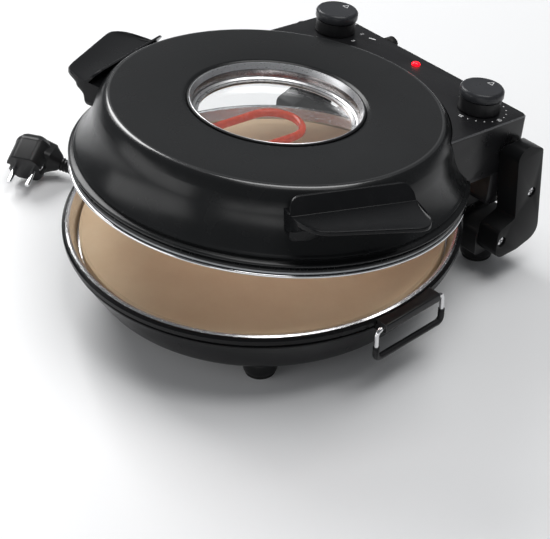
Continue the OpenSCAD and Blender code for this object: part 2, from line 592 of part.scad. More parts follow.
// Timer and thermostat: a drum under the housing's top, bored for the knob's shaft
module control_drum() difference() {
    union() {
        translate([0, 0, drum_top - drum_h]) rod(drum_r, drum_h);
        translate([-8, -3, drum_top - drum_h - 5]) cube([16, 6, 5 + eps]);
    }
    translate([0, 0, drum_top - 14]) rod(shaft_r + rod_gap, 20);
}
module timer_body() color("#c9c4b4") on_lid() translate([knob_x, knob_y, 0]) control_drum();
module thermostat_body() color("#a8aaad") on_lid() translate([-knob_x, knob_y, 0]) control_drum();
module indicator_lamp() color("#e0242a") on_lid() translate([0, lamp_y, 0]) {
    translate([0, 0, house_top - 14]) rod(lamp_r, 14.6);
    translate([0, 0, house_top + 0.6]) rotate_extrude($fn = 36) polygon([[0, 0], [lamp_r, 0],
        [lamp_r - 0.8, 1], [lamp_r - 2.2, 1.7], [0, 2]]);
}
module rear_bumpers() color("#161617") on_lid() both_sides() translate([bumper_x, house_rear + eps, bumper_z])
    rotate([-90, 0, 0]) rotate_extrude($fn = 48) polygon([[0, 0], [bumper_r, 0], [bumper_r, bumper_len - 3],
        [bumper_r - 2.5, bumper_len], [0, bumper_len]]);

// ---------- knobs ----------
knob_gap = 0.6;
skirt_h = 0.58 * knob_h;
module knob() translate([0, 0, house_top + knob_gap]) difference() {
    union() {
        rotate_extrude($fn = 96) polygon([[0, 0], [knob_r - 0.9, 0], [knob_r - 1.4, skirt_h - 0.6],
            [knob_r - 1.4, skirt_h], [knob_r, skirt_h + 0.8], [knob_r, knob_h - 1.6], [knob_r - 1.6, knob_h],
            [0, knob_h]]);
        // pointer, a flat triangle near the rear edge
        translate([0, knob_r - 9.5, knob_h - eps]) linear_extrude(0.4) polygon([[-2.6, 0], [2.6, 0], [0, 5]]);
    }
    translate([0, 0, -1]) rod(shaft_r + 0.02, knob_h - 4);
    // hollow under the skirt
    translate([0, 0, -1]) difference() { rod(knob_r - 3.4, skirt_h - 1); rod(shaft_r + 3, skirt_h); }
}
module knob_shaft() translate([0, 0, drum_top - 13.5]) rod(shaft_r, 13.5 + house_wall + knob_gap + knob_h - 6);
module heat_knob() color("#2b2c2f") on_lid() translate([-knob_x, knob_y, 0]) knob();
module timer_knob() color("#2b2c2f") on_lid() translate([knob_x, knob_y, 0]) knob();
module heat_shaft() color("#b9bbbe") on_lid() translate([-knob_x, knob_y, 0]) knob_shaft();
module timer_shaft() color("#b9bbbe") on_lid() translate([knob_x, knob_y, 0]) knob_shaft();

// ---------- cord ----------
cord_r = cord_d / 2;
tie_t = 0.8;
floor_z = cord_r + tie_t + 0.1;
relief_tip = relief_root + relief_len * relief_dir;
coil_mid = [relief_x - coil_r, 212];
coil_layer = cord_d + 0.5;
coil_turn = 810;
climb_from = 315;
climb_turn = 180;
function coil_radius(a) = coil_r - coil_step * (a < coil_turn / 2 ? a : coil_turn - a) / 360;
function coil_lift(a) = let (t = min(1, max(0, (a - climb_from) / climb_turn))) coil_layer * t * t * (3 - 2 * t);
function coil_point(a) = [coil_mid[0] + coil_radius(a) * cos(a), coil_mid[1] + coil_radius(a) * sin(a),
    floor_z + coil_lift(a)];
coil_rings = round(24 * coil_turn / 360);
coil_in = [relief_x, coil_mid[1] - cord_d, floor_z];
coil_out = [coil_mid[0] - cord_d, coil_mid[1] + coil_r, floor_z + coil_layer];
coil_path = concat([coil_in], [for (i = [0:coil_rings]) coil_point(coil_turn * i / coil_rings)], [coil_out]);
// Least gap of the coil to itself, between points over a third of a turn apart
function coil_self_gap() = min([for (i = [0:coil_rings]) for (j = [i + 8:1:coil_rings])
    norm(coil_path[i + 1] - coil_path[j + 1])]) - cord_d;
echo(coil_gap = coil_self_gap());

// Plug: an angled earthed plug that lies on the edge of its face, pins forward
plug_face = [-258.5, -76.5];
plug_turn = 31;
plug_tip = 18;
plug_r = 18.5;
plug_len = 34;
neck_len = 44;
plug_axis = [sin(plug_turn) * cos(plug_tip), -cos(plug_turn) * cos(plug_tip), -sin(plug_tip)];
neck_dir = [cos(plug_turn), sin(plug_turn), 0];
plug_centre = [plug_face[0], plug_face[1], plug_r * cos(plug_tip) + 0.1];
neck_from = plug_centre - 23 * plug_axis;
neck_slope = 18;
neck_vec = [neck_dir[0] * cos(neck_slope), neck_dir[1] * cos(neck_slope), -sin(neck_slope)];
neck_end = neck_from + neck_len * neck_vec;

// Routes of the two free stretches, in the frame of the bowl
lead_route = [relief_tip, relief_tip + cord_d * relief_dir, coil_in - [0, 8, 0], coil_in];
run_route = [coil_out, coil_out - [8, 0, 0], [-62, 255, 9.5], [-85, 249, 4.7], [-115, 232, 4.7],
    [-143, 205, 4.7], [-163, 170, 4.7], [-176, 130, 4.7], [-184, 90, 4.7], [-187, 50, 4.7],
    [-187, 15, 4.7], [-192, -10, 5], neck_end + 10 * neck_vec, neck_end];
function spline(a, b, c, d, t) = 0.5 * (2 * b + (c - a) * t + (2 * a - 5 * b + 4 * c - d) * t * t
    + (3 * b - a - 3 * c + d) * t * t * t);
function smooth(p, n) = concat([for (i = [0:len(p) - 2]) for (k = [0:n - 1])
    spline(p[max(i - 1, 0)], p[i], p[i + 1], p[min(i + 2, len(p) - 1)], k / n)], [p[len(p) - 1]]);
function path_length(p) = let (d = [for (i = [1:len(p) - 1]) norm(p[i] - p[i - 1])]) d * [for (x = d) 1];
module tube(path, r, sides) {
    n = len(path);
    rings = [for (i = [0:n - 1])
        let (d = path[min(i + 1, n - 1)] - path[max(i - 1, 0)], t = d / norm(d),
            s = cross(t, [0, 0, 1]) / norm(cross(t, [0, 0, 1])), u = cross(s, t))
        for (k = [0:sides - 1]) path[i] + r * (cos(360 * k / sides) * s + sin(360 * k / sides) * u)];
    quads = [for (i = [0:n - 2]) for (k = [0:sides - 1]) let (a = i * sides + k,
        b = i * sides + (k + 1) % sides) each [[a, b, b + sides], [a, b + sides, a + sides]]];
    polyhedron(points = rings, faces = concat([[for (k = [sides - 1:-1:0]) k]], quads,
        [[for (k = [0:sides - 1]) (n - 1) * sides + k]]));
}
// A route made smooth between its straight first and last steps
function middle(p) = [for (i = [1:len(p) - 2]) p[i]];
function laid(p) = concat([p[0]], smooth(middle(p), 2), [p[len(p) - 1]]);
lead_path = laid(lead_route);
run_path = laid(run_route);
echo(cord_length = path_length(lead_path) + path_length(coil_path) + path_length(run_path));
module cord_lead() color("#1a1a1b") on_base() tube(lead_path, cord_r, 8);
module cord_run() color("#1a1a1b") on_base() tube(run_path, cord_r, 8);
module cord_coil() color("#1a1a1b") on_base() tube(coil_path, cord_r, 6);
module cord_tie() color("#2d2d30") on_base() translate([coil_mid[0], coil_mid[1], 0]) rotate([0, 0, 180])
    difference() {
        low = coil_radius(540) - cord_r - 0.9;
        high = coil_radius(180) + cord_r + 0.4;
        top = floor_z + coil_layer + cord_r + 0.3;
        translate([low - tie_t, -6, 0.05]) cube([high - low + 2 * tie_t, 12, top + tie_t]);
        translate([low, -7, tie_t + 0.05]) cube([high - low, 14, top - tie_t]);
    }
module strain_relief() color("#1a1a1b") on_base() on_relief() rotate_extrude($fn = 48) polygon([[0, -relief_in],
    [relief_r, -relief_in], [relief_r, 12], [relief_r - 0.8, 13], [cord_r + 0.8, relief_len - eps],
    [0, relief_len - eps]]);
// Neck of the plug and its body, drawn along Z and then laid down
module aim(p, dir) translate(p) rotate([0, acos(dir[2] / norm(dir)), atan2(dir[1], dir[0])]) children();
module plug_body() color("#1d1d1f") on_base() {
    difference() {
        union() {
            aim(plug_centre - plug_len * plug_axis, plug_axis) intersection() {
                rotate_extrude($fn = 72) polygon([[0, 0], [plug_r - 6, 0], [plug_r - 1.5, 6],
                    [plug_r, 12], [plug_r, plug_len], [0, plug_len]]);
                cube([2 * plug_r - 5, 4 * plug_r, 3 * plug_len], center = true);
            }
            aim(neck_from, neck_vec) rotate_extrude($fn = 48) polygon([[0, 0], [9, 0], [8.5, 22],
                [cord_r + 1.4, neck_len - 1], [cord_r + 1.4, neck_len], [0, neck_len]]);
        }
        for (s = [-1, 1]) aim(plug_centre + s * 9.5 * neck_dir - 8 * plug_axis, plug_axis) rod(pin_r + eps, 20);
    }
}
pin_r = 2.4;
pin_len = 19;
module plug_pins() color("#c9cbcd") on_base() for (s = [-1, 1])
    aim(plug_centre + s * 9.5 * neck_dir - 7.9 * plug_axis, plug_axis) rotate_extrude($fn = 36) polygon([[0, 0],
        [pin_r, 0], [pin_r, pin_len + 6.9], [pin_r - 1, pin_len + 7.9], [0, pin_len + 7.9]]);

base_shell();
bottom_cover();
cover_screws();
steel_liner();
pizza_stone();
lower_heater();
lower_heater_clips();
terminal_block();
front_feet();
rear_feet();
foot_pads();
bracket_right();
bracket_left();
arm_right();
arm_left();
hinge_screws();
bail_bracket_right();
bail_bracket_left();
bail_wire_right();
bail_wire_left();
bail_sleeve_right();
bail_sleeve_left();
hinge_rod();
hinge_bushes();
lid_shell();
lid_ring();
lid_liner();
upper_heater();
upper_heater_clips();
window_trim();
window_glass();
handle_right();
handle_left();
handle_screws();
housing_shell();
housing_base();
hinge_lugs();
timer_body();
thermostat_body();
indicator_lamp();
rear_bumpers();
heat_knob();
heat_shaft();
timer_knob();
timer_shaft();
strain_relief();
cord_lead();
cord_coil();
cord_run();
cord_tie();
plug_body();
plug_pins();
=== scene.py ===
"""Looks of the electric pizza maker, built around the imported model.

Lengths are in millimetres in the frame of the object, and are turned into metres where a mesh is made.
"""

import json
import math

import bmesh
import bpy
from mathutils import Matrix, Vector


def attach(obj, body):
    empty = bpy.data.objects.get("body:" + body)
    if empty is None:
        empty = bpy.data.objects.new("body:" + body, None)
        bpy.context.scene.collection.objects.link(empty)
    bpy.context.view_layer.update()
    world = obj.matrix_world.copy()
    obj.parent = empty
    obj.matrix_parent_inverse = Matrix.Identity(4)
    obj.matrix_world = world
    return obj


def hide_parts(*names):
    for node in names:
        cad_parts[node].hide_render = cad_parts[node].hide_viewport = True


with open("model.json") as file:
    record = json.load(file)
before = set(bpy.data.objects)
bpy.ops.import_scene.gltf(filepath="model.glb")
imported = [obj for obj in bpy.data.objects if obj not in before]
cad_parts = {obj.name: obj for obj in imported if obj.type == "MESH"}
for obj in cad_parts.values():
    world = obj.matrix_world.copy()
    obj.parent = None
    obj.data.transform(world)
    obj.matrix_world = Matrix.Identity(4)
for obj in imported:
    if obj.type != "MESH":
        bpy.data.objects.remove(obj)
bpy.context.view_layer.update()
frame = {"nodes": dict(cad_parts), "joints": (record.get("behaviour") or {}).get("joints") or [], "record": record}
NODES = frame["nodes"]
BODY_OF = {node: body for body, nodes in frame["record"]["behaviour"]["bodies"].items() for node in nodes}
JOINTS = {joint["name"]: joint for joint in frame["joints"]}
MM = 0.001

# ---------- sizes, as in the CAD source ----------
RIM_R = 174.5
LID_RING_R = 172
LID_H = 65.5
TOP_R = 141.3
WINDOW_R = 73.8
PIN_Y = 179.9
PIN_DROP = 5.55
HOUSE_TOP = 58.25
KNOB_X = 91
KNOB_Y = 155
KNOB_R = 19.5
KNOB_H = 21
KNOB_GAP = 0.6
HANDLE_TURN = 18.5
HANDLE_LEN = 108
HANDLE_FACE = 157
LUG_FRONT = 154
CORD_D = 7.5

# ---------- sizes of what only the scene has ----------
# Top of the window's pane, which lies a little lower than the CAD's
GLASS_Z = 52
# Reach of the lugs' flanks to each side, between the bracket's inner wall and the arm
FLANK_IN, FLANK_OUT = 100.4, 123.2
# Height of the crease below which a handle's plate is upright, its lean above that, and its thickness there
CREASE_Z = 51.6
PLATE_LEAN = 0.8
PLATE_T = 2.6
# Height of printed marks
PRINT_H = 0.12

# ---------- frames ----------
def axes(x, y, z):
    """Turn that carries X, Y and Z to the three directions."""
    return Matrix((x, y, z)).transposed().to_4x4()


PIN = Vector(JOINTS["lid_tilt"]["pos_m"]) / MM
LID_UP = Vector(JOINTS["heat_turn"]["axis"]).normalized()
SIDEWAYS = Vector((1, 0, 0))
# The bowl's axis stands forward of the origin
BOWL_Y = -17.7396
ON_BASE = Matrix.Translation((0, BOWL_Y, 0))
LID_TURN = axes(SIDEWAYS, LID_UP.cross(SIDEWAYS), LID_UP)
ON_LID = Matrix.Translation(PIN) @ LID_TURN @ Matrix.Translation((0, -PIN_Y, PIN_DROP))
MIRROR_X = Matrix.Diagonal((-1, 1, 1, 1))


# ---------- mesh helpers ----------
def add_piece(name, mesh, body, material, place=Matrix.Identity(4), replaces=(),
              smooth_angle=35):
    """A mesh in millimetres in the frame `place` becomes a piece in metres that rides on a body."""
    mesh.transform(place)
    mesh.transform(Matrix.Scale(MM, 4))
    if place.determinant() < 0:
        mesh.flip_normals()
    for polygon in mesh.polygons:
        polygon.use_smooth = True
    mesh.set_sharp_from_angle(angle=math.radians(smooth_angle))
    piece = bpy.data.objects.new(name, mesh)
    bpy.context.scene.collection.objects.link(piece)
    for one in material if isinstance(material, (list, tuple)) else [material]:
        mesh.materials.append(one)
    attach(piece, body)
    if replaces:
        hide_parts(*([replaces] if isinstance(replaces, str) else replaces))
    return piece


def mesh_from(name, points, faces):
    """Mesh of points and of faces that list them."""
    mesh = bpy.data.meshes.new(name)
    mesh.from_pydata([tuple(p) for p in points], [], faces)
    mesh.validate()
    return mesh


def revolve(name, outline, segments):
    """Closed outline of [radius, height] points turned about the Z axis."""
    points, rings = [], []
    for r, z in outline:
        if r < 1e-6:
            rings.append([len(points)] * segments)
            points.append((0, 0, z))
            continue
        rings.append([len(points) + k for k in range(segments)])
        for k in range(segments):
            angle = 2 * math.pi * k / segments
            points.append((r * math.cos(angle), r * math.sin(angle), z))
    faces = []
    for i, ring in enumerate(rings):
        after = rings[(i + 1) % len(rings)]
        for k in range(segments):
            corners = [ring[k], ring[(k + 1) % segments], after[(k + 1) % segments], after[k]]
            corners = [c for j, c in enumerate(corners) if c != corners[j - 1]]
            if len(corners) > 2:
                faces.append(corners)
    return mesh_from(name, points, faces)


def fix_normals(mesh):
    """Joins points in one place and turns the faces outwards."""
    work = bmesh.new()
    work.from_mesh(mesh)
    bmesh.ops.remove_doubles(work, verts=work.verts, dist=1e-4)
    bmesh.ops.recalc_face_normals(work, faces=work.faces)
    work.to_mesh(mesh)
    work.free()
    return mesh


def bezier(a, b, c, steps):
    """Points of the curve from a to c that b pulls towards itself."""
    a, b, c = Vector(a), Vector(b), Vector(c)
    return [(1 - t) ** 2 * a + 2 * t * (1 - t) * b + t * t * c
            for t in (i / steps for i in range(steps + 1))]


def catmull(points, steps):
    """Smooth curve through the points, with that many steps between neighbours."""
    points = [Vector(p) for p in points]
    last = len(points) - 1
    out = []
    for i in range(last):
        a, b, c, d = points[max(i - 1, 0)], points[i], points[i + 1], points[min(i + 2, last)]
        for k in range(steps):
            t = k / steps
            out.append(0.5 * (2 * b + (c - a) * t + (2 * a - 5 * b + 4 * c - d) * t * t
                              + (3 * b - a - 3 * c + d) * t ** 3))
    return out + [points[-1]]


# ---------- materials ----------
class Paint:
    """Builds one node material around a Principled shader."""

    def __init__(self, name, color, roughness, metallic=0.0, **sockets):
        self.material = bpy.data.materials.new(name)
        self.material.use_nodes = True
        self.tree = self.material.node_tree
        self.shader = self.tree.nodes["Principled BSDF"]
        self.shader.inputs["Base Color"].default_value = (*color, 1)
        self.shader.inputs["Roughness"].default_value = roughness
        self.shader.inputs["Metallic"].default_value = metallic
        for socket, value in sockets.items():
            self.shader.inputs[socket.replace("_", " ")].default_value = value
        self.color = color
        self.roughness = roughness
        self.place = self.node("ShaderNodeTexCoord").outputs["Object"]

    def node(self, kind, **values):
        node = self.tree.nodes.new(kind)
        for key, value in values.items():
            if key in node.inputs:
                node.inputs[key].default_value = value
            else:
                setattr(node, key, value)
        return node

    def link(self, a, b):
        self.tree.links.new(a, b)

    def noise(self, scale, detail=3, stretch=(1, 1, 1), roughness=0.5):
        """Noise at a scale per metre in object space."""
        mapping = self.node("ShaderNodeMapping")
        mapping.inputs["Scale"].default_value = stretch
        self.link(self.place, mapping.inputs["Vector"])
        noise = self.node("ShaderNodeTexNoise", Scale=scale, Detail=detail, Roughness=roughness)
        self.link(mapping.outputs["Vector"], noise.inputs["Vector"])
        return noise.outputs["Fac"]

    def spread(self, source, low, high):
        """Noise, which lies mostly between 0.3 and 0.7, turned into values from low to high."""
        node = self.node("ShaderNodeMapRange")
        for socket, value in (("From Min", 0.3), ("From Max", 0.7), ("To Min", low), ("To Max", high)):
            node.inputs[socket].default_value = value
        self.link(source, node.inputs["Value"])
        return node.outputs["Result"]

    def vary_roughness(self, source, amount):
        """Roughness that wanders by the amount to both sides."""
        self.link(self.spread(source, self.roughness - amount, self.roughness + amount),
                  self.shader.inputs["Roughness"])
        return self

    def vary_color(self, source, other):
        """Colour that wanders between the paint's own and another."""
        mix = self.node("ShaderNodeMix", data_type="RGBA")
        colors = [socket for socket in mix.inputs if socket.type == "RGBA"]
        for socket, color in zip(colors, (self.color, other)):
            socket.default_value = (*color, 1)
        self.link(self.spread(source, 0, 1), mix.inputs["Factor"])
        self.link([s for s in mix.outputs if s.type == "RGBA"][0], self.shader.inputs["Base Color"])
        return self

    def bump(self, source, strength, depth_mm):
        """Relief of that depth, on top of any relief that the paint has."""
        bump = self.node("ShaderNodeBump", Strength=strength, Distance=depth_mm * MM)
        self.link(source, bump.inputs["Height"])
        normals = self.shader.inputs["Normal"]
        if normals.links:
            self.link(normals.links[0].from_socket, bump.inputs["Normal"])
        self.link(bump.outputs["Normal"], normals)
        return self


def satin_paint(name, color, roughness, shine=0.28):
    """Baked paint on sheet metal."""
    paint = Paint(name, color, roughness, Specular_IOR_Level=shine)
    paint.vary_roughness(paint.noise(45, 4), 0.04)
    paint.vary_color(paint.noise(8, 2), [c * 1.25 for c in color])
    return paint.bump(paint.noise(1600, 2), 0.2, 0.02).material


def moulded(name, color, roughness, grain=2200, depth=0.02, shine=0.28):
    """Moulded plastic or rubber with a fine grain."""
    paint = Paint(name, color, roughness, Specular_IOR_Level=shine)
    paint.vary_roughness(paint.noise(60, 4), 0.05)
    paint.vary_color(paint.noise(14, 3), [c * 1.3 for c in color])
    return paint.bump(paint.noise(grain, 3), 0.4, depth).material


def brushed(name, color, roughness, stretch=(1, 1, 1), scale=900):
    """Metal with fine marks, drawn out where the stretch is uneven."""
    paint = Paint(name, color, roughness, metallic=1.0)
    paint.vary_roughness(paint.noise(scale, 5, stretch), 0.07)
    paint.vary_color(paint.noise(20, 3), [c * 0.82 for c in color])
    return paint.bump(paint.noise(scale, 4, stretch), 0.15, 0.03).material


LID_PAINT = satin_paint("lid_paint", (0.0095, 0.010, 0.0105), 0.25)
BASE_PAINT = satin_paint("base_paint", (0.006, 0.006, 0.0065), 0.24, 0.17)
HOUSING = moulded("housing_plastic", (0.010, 0.010, 0.011), 0.30)
HANDLE = moulded("handle_plastic", (0.0065, 0.0068, 0.0075), 0.25, shine=0.17)
ARM = moulded("arm_plastic", (0.0065, 0.0068, 0.0072), 0.33, shine=0.10)
FRAME_PLASTIC = moulded("frame_plastic", (0.009, 0.009, 0.0095), 0.36)
# Lid paint made lighter and glossier for the flat top's edge: a painted highlight line on real gloss
LID_EDGE_HIGHLIGHT = satin_paint("lid_edge_painted_highlight", (0.02, 0.0205, 0.021), 0.19, 1.0)
# Much lighter plastic for rounded edges: a painted highlight line along them
PAINTED_EDGE_HIGHLIGHT = moulded("painted_edge_highlight_plastic", (0.12, 0.122, 0.126), 0.25)
KNOB = moulded("knob_plastic", (0.026, 0.027, 0.030), 0.30)
KNOB_SKIRT = moulded("knob_skirt_plastic", (0.013, 0.013, 0.014), 0.40)
LINER = brushed("liner_steel", (0.86, 0.86, 0.87), 0.22, (1, 1, 8), 220)
RING = brushed("ring_steel", (0.30, 0.31, 0.32), 0.22, (1, 1, 10), 260)
GALVANISED = brushed("galvanised_steel", (0.52, 0.53, 0.54), 0.42, (1, 1, 1), 60)
SCREW = brushed("screw_steel", (0.72, 0.72, 0.73), 0.22)
CHROME = Paint("polished_steel", (0.80, 0.80, 0.81), 0.06, metallic=1.0)
CHROME = CHROME.vary_roughness(CHROME.noise(120, 3), 0.02).material
TRIM = brushed("trim_steel", (0.95, 0.95, 0.96), 0.32, (1, 1, 6), 300)
# Darker, warmer copy of the trim's steel for the window's inner wall: painted shade with a painted warm reflection
TRIM_WALL_SHADE = brushed("trim_wall_painted_shade", (0.40, 0.38, 0.38), 0.22, (1, 1, 6), 300)
PRINT = moulded("white_print", (0.75, 0.75, 0.75), 0.5)
RUBBER = moulded("rubber", (0.010, 0.010, 0.010), 0.55, 1500, 0.08)
SLEEVE = moulded("sleeve_rubber", (0.010, 0.010, 0.011), 0.38)
CORD = moulded("cord_rubber", (0.010, 0.010, 0.0105), 0.38, 1800, 0.05)
BUSH = moulded("bush_plastic", (0.62, 0.61, 0.56), 0.4)
TERMINAL = moulded("terminal_plastic", (0.70, 0.66, 0.58), 0.55)
CONTROL = moulded("control_plastic", (0.60, 0.57, 0.50), 0.5)


def make_stone():
    """Fired clay with a coarse, uneven face."""
    paint = Paint("refractory_stone", (0.95, 0.745, 0.50), 0.82)
    paint.vary_color(paint.noise(26, 8, roughness=0.65), (0.89, 0.67, 0.43))
    return paint.bump(paint.noise(320, 6, roughness=0.7), 0.5, 0.25).material


def make_heater(name, color, other, roughness, painted_glow=0.0):
    """Heater tube; when it is hot, a faint glow in its own colour is painted on as emission, though the tube is no
    lamp.
    """
    paint = Paint(name, color, roughness)
    paint.vary_color(paint.noise(70, 5), other)
    paint.vary_roughness(paint.noise(200, 4), 0.08)
    # Painted glow: emission in the tube's own colour
    if painted_glow:
        paint.shader.inputs["Emission Color"].default_value = (*color, 1)
        paint.shader.inputs["Emission Strength"].default_value = painted_glow
    return paint.bump(paint.noise(900, 4), 0.3, 0.06).material


def make_glass():
    """Clear glass that is not quite flat."""
    paint = Paint("window_glass", (0.98, 0.99, 0.99), 0.01, IOR=1.45, Transmission_Weight=1.0)
    return paint.bump(paint.noise(9, 1), 0.02, 0.05).material


def make_lamp():
    """Red lens of the lamp, which is lit."""
    paint = Paint("lamp_plastic", (0.75, 0.01, 0.015), 0.2, Emission_Strength=3.0)
    paint.shader.inputs["Emission Color"].default_value = (1.0, 0.0, 0.008, 1)
    return paint.vary_roughness(paint.noise(300, 2), 0.05).material


STONE = make_stone()
# The upper heater, with a faint painted glow
HEATER_PAINTED_GLOW = make_heater("hot_heater_painted_glow", (0.62, 0.042, 0.001), (0.46, 0.028, 0.001), 0.24, 0.22)
COLD_HEATER = make_heater("heater_steel", (0.20, 0.10, 0.07), (0.12, 0.08, 0.07), 0.42)
GLASS = make_glass()
LAMP = make_lamp()

NODE_MATERIALS = {
    "base_shell": BASE_PAINT, "bottom_cover": GALVANISED, "cover_screws": SCREW, "steel_liner": LINER,
    "pizza_stone": STONE, "lower_heater": COLD_HEATER, "lower_heater_clips": GALVANISED,
    "terminal_block": TERMINAL, "front_feet": FRAME_PLASTIC, "rear_feet": FRAME_PLASTIC,
    "foot_pads": RUBBER, "bracket_right": FRAME_PLASTIC, "bracket_left": FRAME_PLASTIC,
    "arm_right": ARM, "arm_left": ARM, "hinge_screws": SCREW,
    "bail_bracket_right": FRAME_PLASTIC, "bail_bracket_left": FRAME_PLASTIC,
    "bail_wire_right": CHROME, "bail_wire_left": CHROME, "bail_sleeve_right": SLEEVE,
    "bail_sleeve_left": SLEEVE, "hinge_rod": SCREW, "hinge_bushes": BUSH,
    "lid_shell": LID_PAINT, "lid_ring": RING, "lid_liner": LINER, "upper_heater": HEATER_PAINTED_GLOW,
    "upper_heater_clips": GALVANISED, "window_trim": CHROME, "window_glass": GLASS,
    "handle_right": HANDLE, "handle_left": HANDLE, "handle_screws": SCREW,
    "housing_shell": HOUSING, "housing_base": HOUSING, "hinge_lugs": FRAME_PLASTIC,
    "timer_body": CONTROL, "thermostat_body": GALVANISED, "indicator_lamp": LAMP,
    "rear_bumpers": RUBBER, "heat_knob": KNOB, "heat_shaft": SCREW, "timer_knob": KNOB,
    "timer_shaft": SCREW, "strain_relief": CORD, "cord_lead": CORD, "cord_coil": CORD,
    "cord_run": CORD, "cord_tie": FRAME_PLASTIC, "plug_body": CORD, "plug_pins": CHROME,
}


def paint_nodes():
    """Gives each CAD node its material, also where another piece later stands for it."""
    for name, node in NODES.items():
        node.data.materials.clear()
        node.data.materials.append(NODE_MATERIALS[name])


# ---------- outlines ----------
def polar(radius, angle):
    """Point [x, y] at an angle in degrees."""
    return Vector((radius * math.cos(math.radians(angle)), radius * math.sin(math.radians(angle))))


def rounded(corners, steps=4):
    """Closed outline of [x, y, radius] corners with each corner rounded."""
    out = []
    count = len(corners)
    for i, (x, y, radius) in enumerate(corners):
        here = Vector((x, y))
        before = Vector(corners[i - 1][:2]) - here
        after = Vector(corners[(i + 1) % count][:2]) - here
        u, v = before.normalized(), after.normalized()
        half = max(math.acos(max(-1, min(1, u.dot(v)))) / 2, 0.05)
        reach = min(radius / math.tan(half), 0.48 * before.length, 0.48 * after.length)
        if radius <= 0 or reach < 1e-4 or half > 1.55:
            out += [here] * (steps + 1)
            continue
        out += [(1 - t) ** 2 * (here + u * reach) + 2 * t * (1 - t) * here + t * t * (here + v * reach)
                for t in (k / steps for k in range(steps + 1))]
    return out


def loft(name, rings):
    """Closed solid through rings of as many points each."""
    count = len(rings[0])
    faces = []
    for low in range(0, (len(rings) - 1) * count, count):
        for k in range(count):
            after = (k + 1) % count
            faces.append([low + k, low + after, low + count + after, low + count + k])
    faces += [list(range(count))[::-1], [(len(rings) - 1) * count + k for k in range(count)]]
    return fix_normals(mesh_from(name, [p for ring in rings for p in ring], faces))


def softened(node, width, material, smooth_angle=40):
    """A copy of a CAD node's mesh stands for the node, with its sharp edges rounded to the width.

    The rounded edges take the second material, a much lighter paint that puts a painted highlight along them. With
    a width of 0 the copy is only shaded smooth.
    """
    mesh = NODES[node].data.copy()
    mesh.materials.clear()
    work = bmesh.new()
    work.from_mesh(mesh)
    bmesh.ops.remove_doubles(work, verts=work.verts, dist=2e-6)
    bmesh.ops.dissolve_limit(work, angle_limit=math.radians(0.6), verts=work.verts, edges=work.edges)
    if width:
        sharp = [edge for edge in work.edges
                 if len(edge.link_faces) == 2 and edge.calc_face_angle(0) > math.radians(38)]
        painted_highlight_faces = bmesh.ops.bevel(work, geom=sharp, offset=width * MM, segments=3, profile=0.5,
                               affect="EDGES", clamp_overlap=True)["faces"]
        # Faces of the rounded edges take the lighter paint, a painted highlight
        for face in painted_highlight_faces:
            face.material_index = 1
    bmesh.ops.triangulate(work, faces=[face for face in work.faces if len(face.verts) > 4])
    work.to_mesh(mesh)
    work.free()
    mesh.transform(Matrix.Scale(1 / MM, 4))
    return add_piece(node + "_rounded", mesh, BODY_OF[node], material, replaces=node,
                     smooth_angle=smooth_angle)


def mark_faces(mesh, place, test, index=1):
    """Faces whose centre in a frame passes the test take another of the piece's materials."""
    back = place.inverted()
    for face in mesh.polygons:
        if test(back @ (face.center / MM)):
            face.material_index = index


# ---------- lid ----------
def lid_wall_outline():
    """Outer outline of the lid's wall, upwards from the band to the flat top."""
    beads = [(-3.4, 7.05), (-2.2, 7.1), (-1.9, 8.2), (-0.9, 8.9), (0.1, 9.8), (0.35, 10.6), (-0.1, 11.4),
             (-1.9, 12.0), (-4.2, 12.6), (-5.1, 13.4), (-4.9, 14.2), (-3.9, 14.9), (-3.6, 15.6),
             (-4.2, 16.4), (-5.2, 17.1)]
    flank = bezier((LID_RING_R - 6, 18), (LID_RING_R - 15.5, 30), (TOP_R + 12, LID_H - 19), 16)
    shoulder = bezier((TOP_R + 9.5, LID_H - 11), (TOP_R + 5.4, LID_H - 2.6), (TOP_R + 2.2, LID_H - 0.95), 12)
    edge = bezier((TOP_R + 2.0, LID_H - 0.8), (TOP_R + 0.6, LID_H + 0.05), (TOP_R - 1.8, LID_H), 8)
    return [Vector((LID_RING_R + r, z)) for r, z in beads] + flank + shoulder + edge


LID_WALL = lid_wall_outline()
# Index of the beads' last point, above which the wall only narrows
LAST_BEAD = 14


def lid_radius(z):
    """Radius of the lid's wall at height z above the lip."""
    for low, high in zip(LID_WALL[LAST_BEAD:], LID_WALL[LAST_BEAD + 1:]):
        if low.y <= z <= high.y and high.y > low.y:
            return low.x + (high.x - low.x) * (z - low.y) / (high.y - low.y)
    return TOP_R


def make_lid_shell():
    """Pressed lid; the rounded edge of its flat top takes a lighter, glossier paint, a painted highlight line
    together with real gloss.
    """
    hole = WINDOW_R + 0.2
    dip = [(WINDOW_R + 7, LID_H), (WINDOW_R + 4.6, LID_H - 0.5), (WINDOW_R + 3, LID_H - 2.15),
           (hole, LID_H - 2.35)]
    skin = LID_WALL + [Vector(p) for p in dip]
    inner = [Vector((p.x - 1.2, max(p.y - 0.9, 7.05))) for p in reversed(skin)]
    inner[0] = Vector((hole, LID_H - 3.5))
    shell = fix_normals(revolve("lid", skin + inner, 288))
    add_piece("lid_shell_pressed", shell, "lid", [LID_PAINT, LID_EDGE_HIGHLIGHT], ON_LID, "lid_shell", 50)
    # Faces along the flat top's rounded edge take the painted highlight
    mark_faces(shell, ON_LID, lambda p: abs(math.hypot(p.x, p.y) - TOP_R - 0.5) < 1.9 and p.z > LID_H - 1.7)


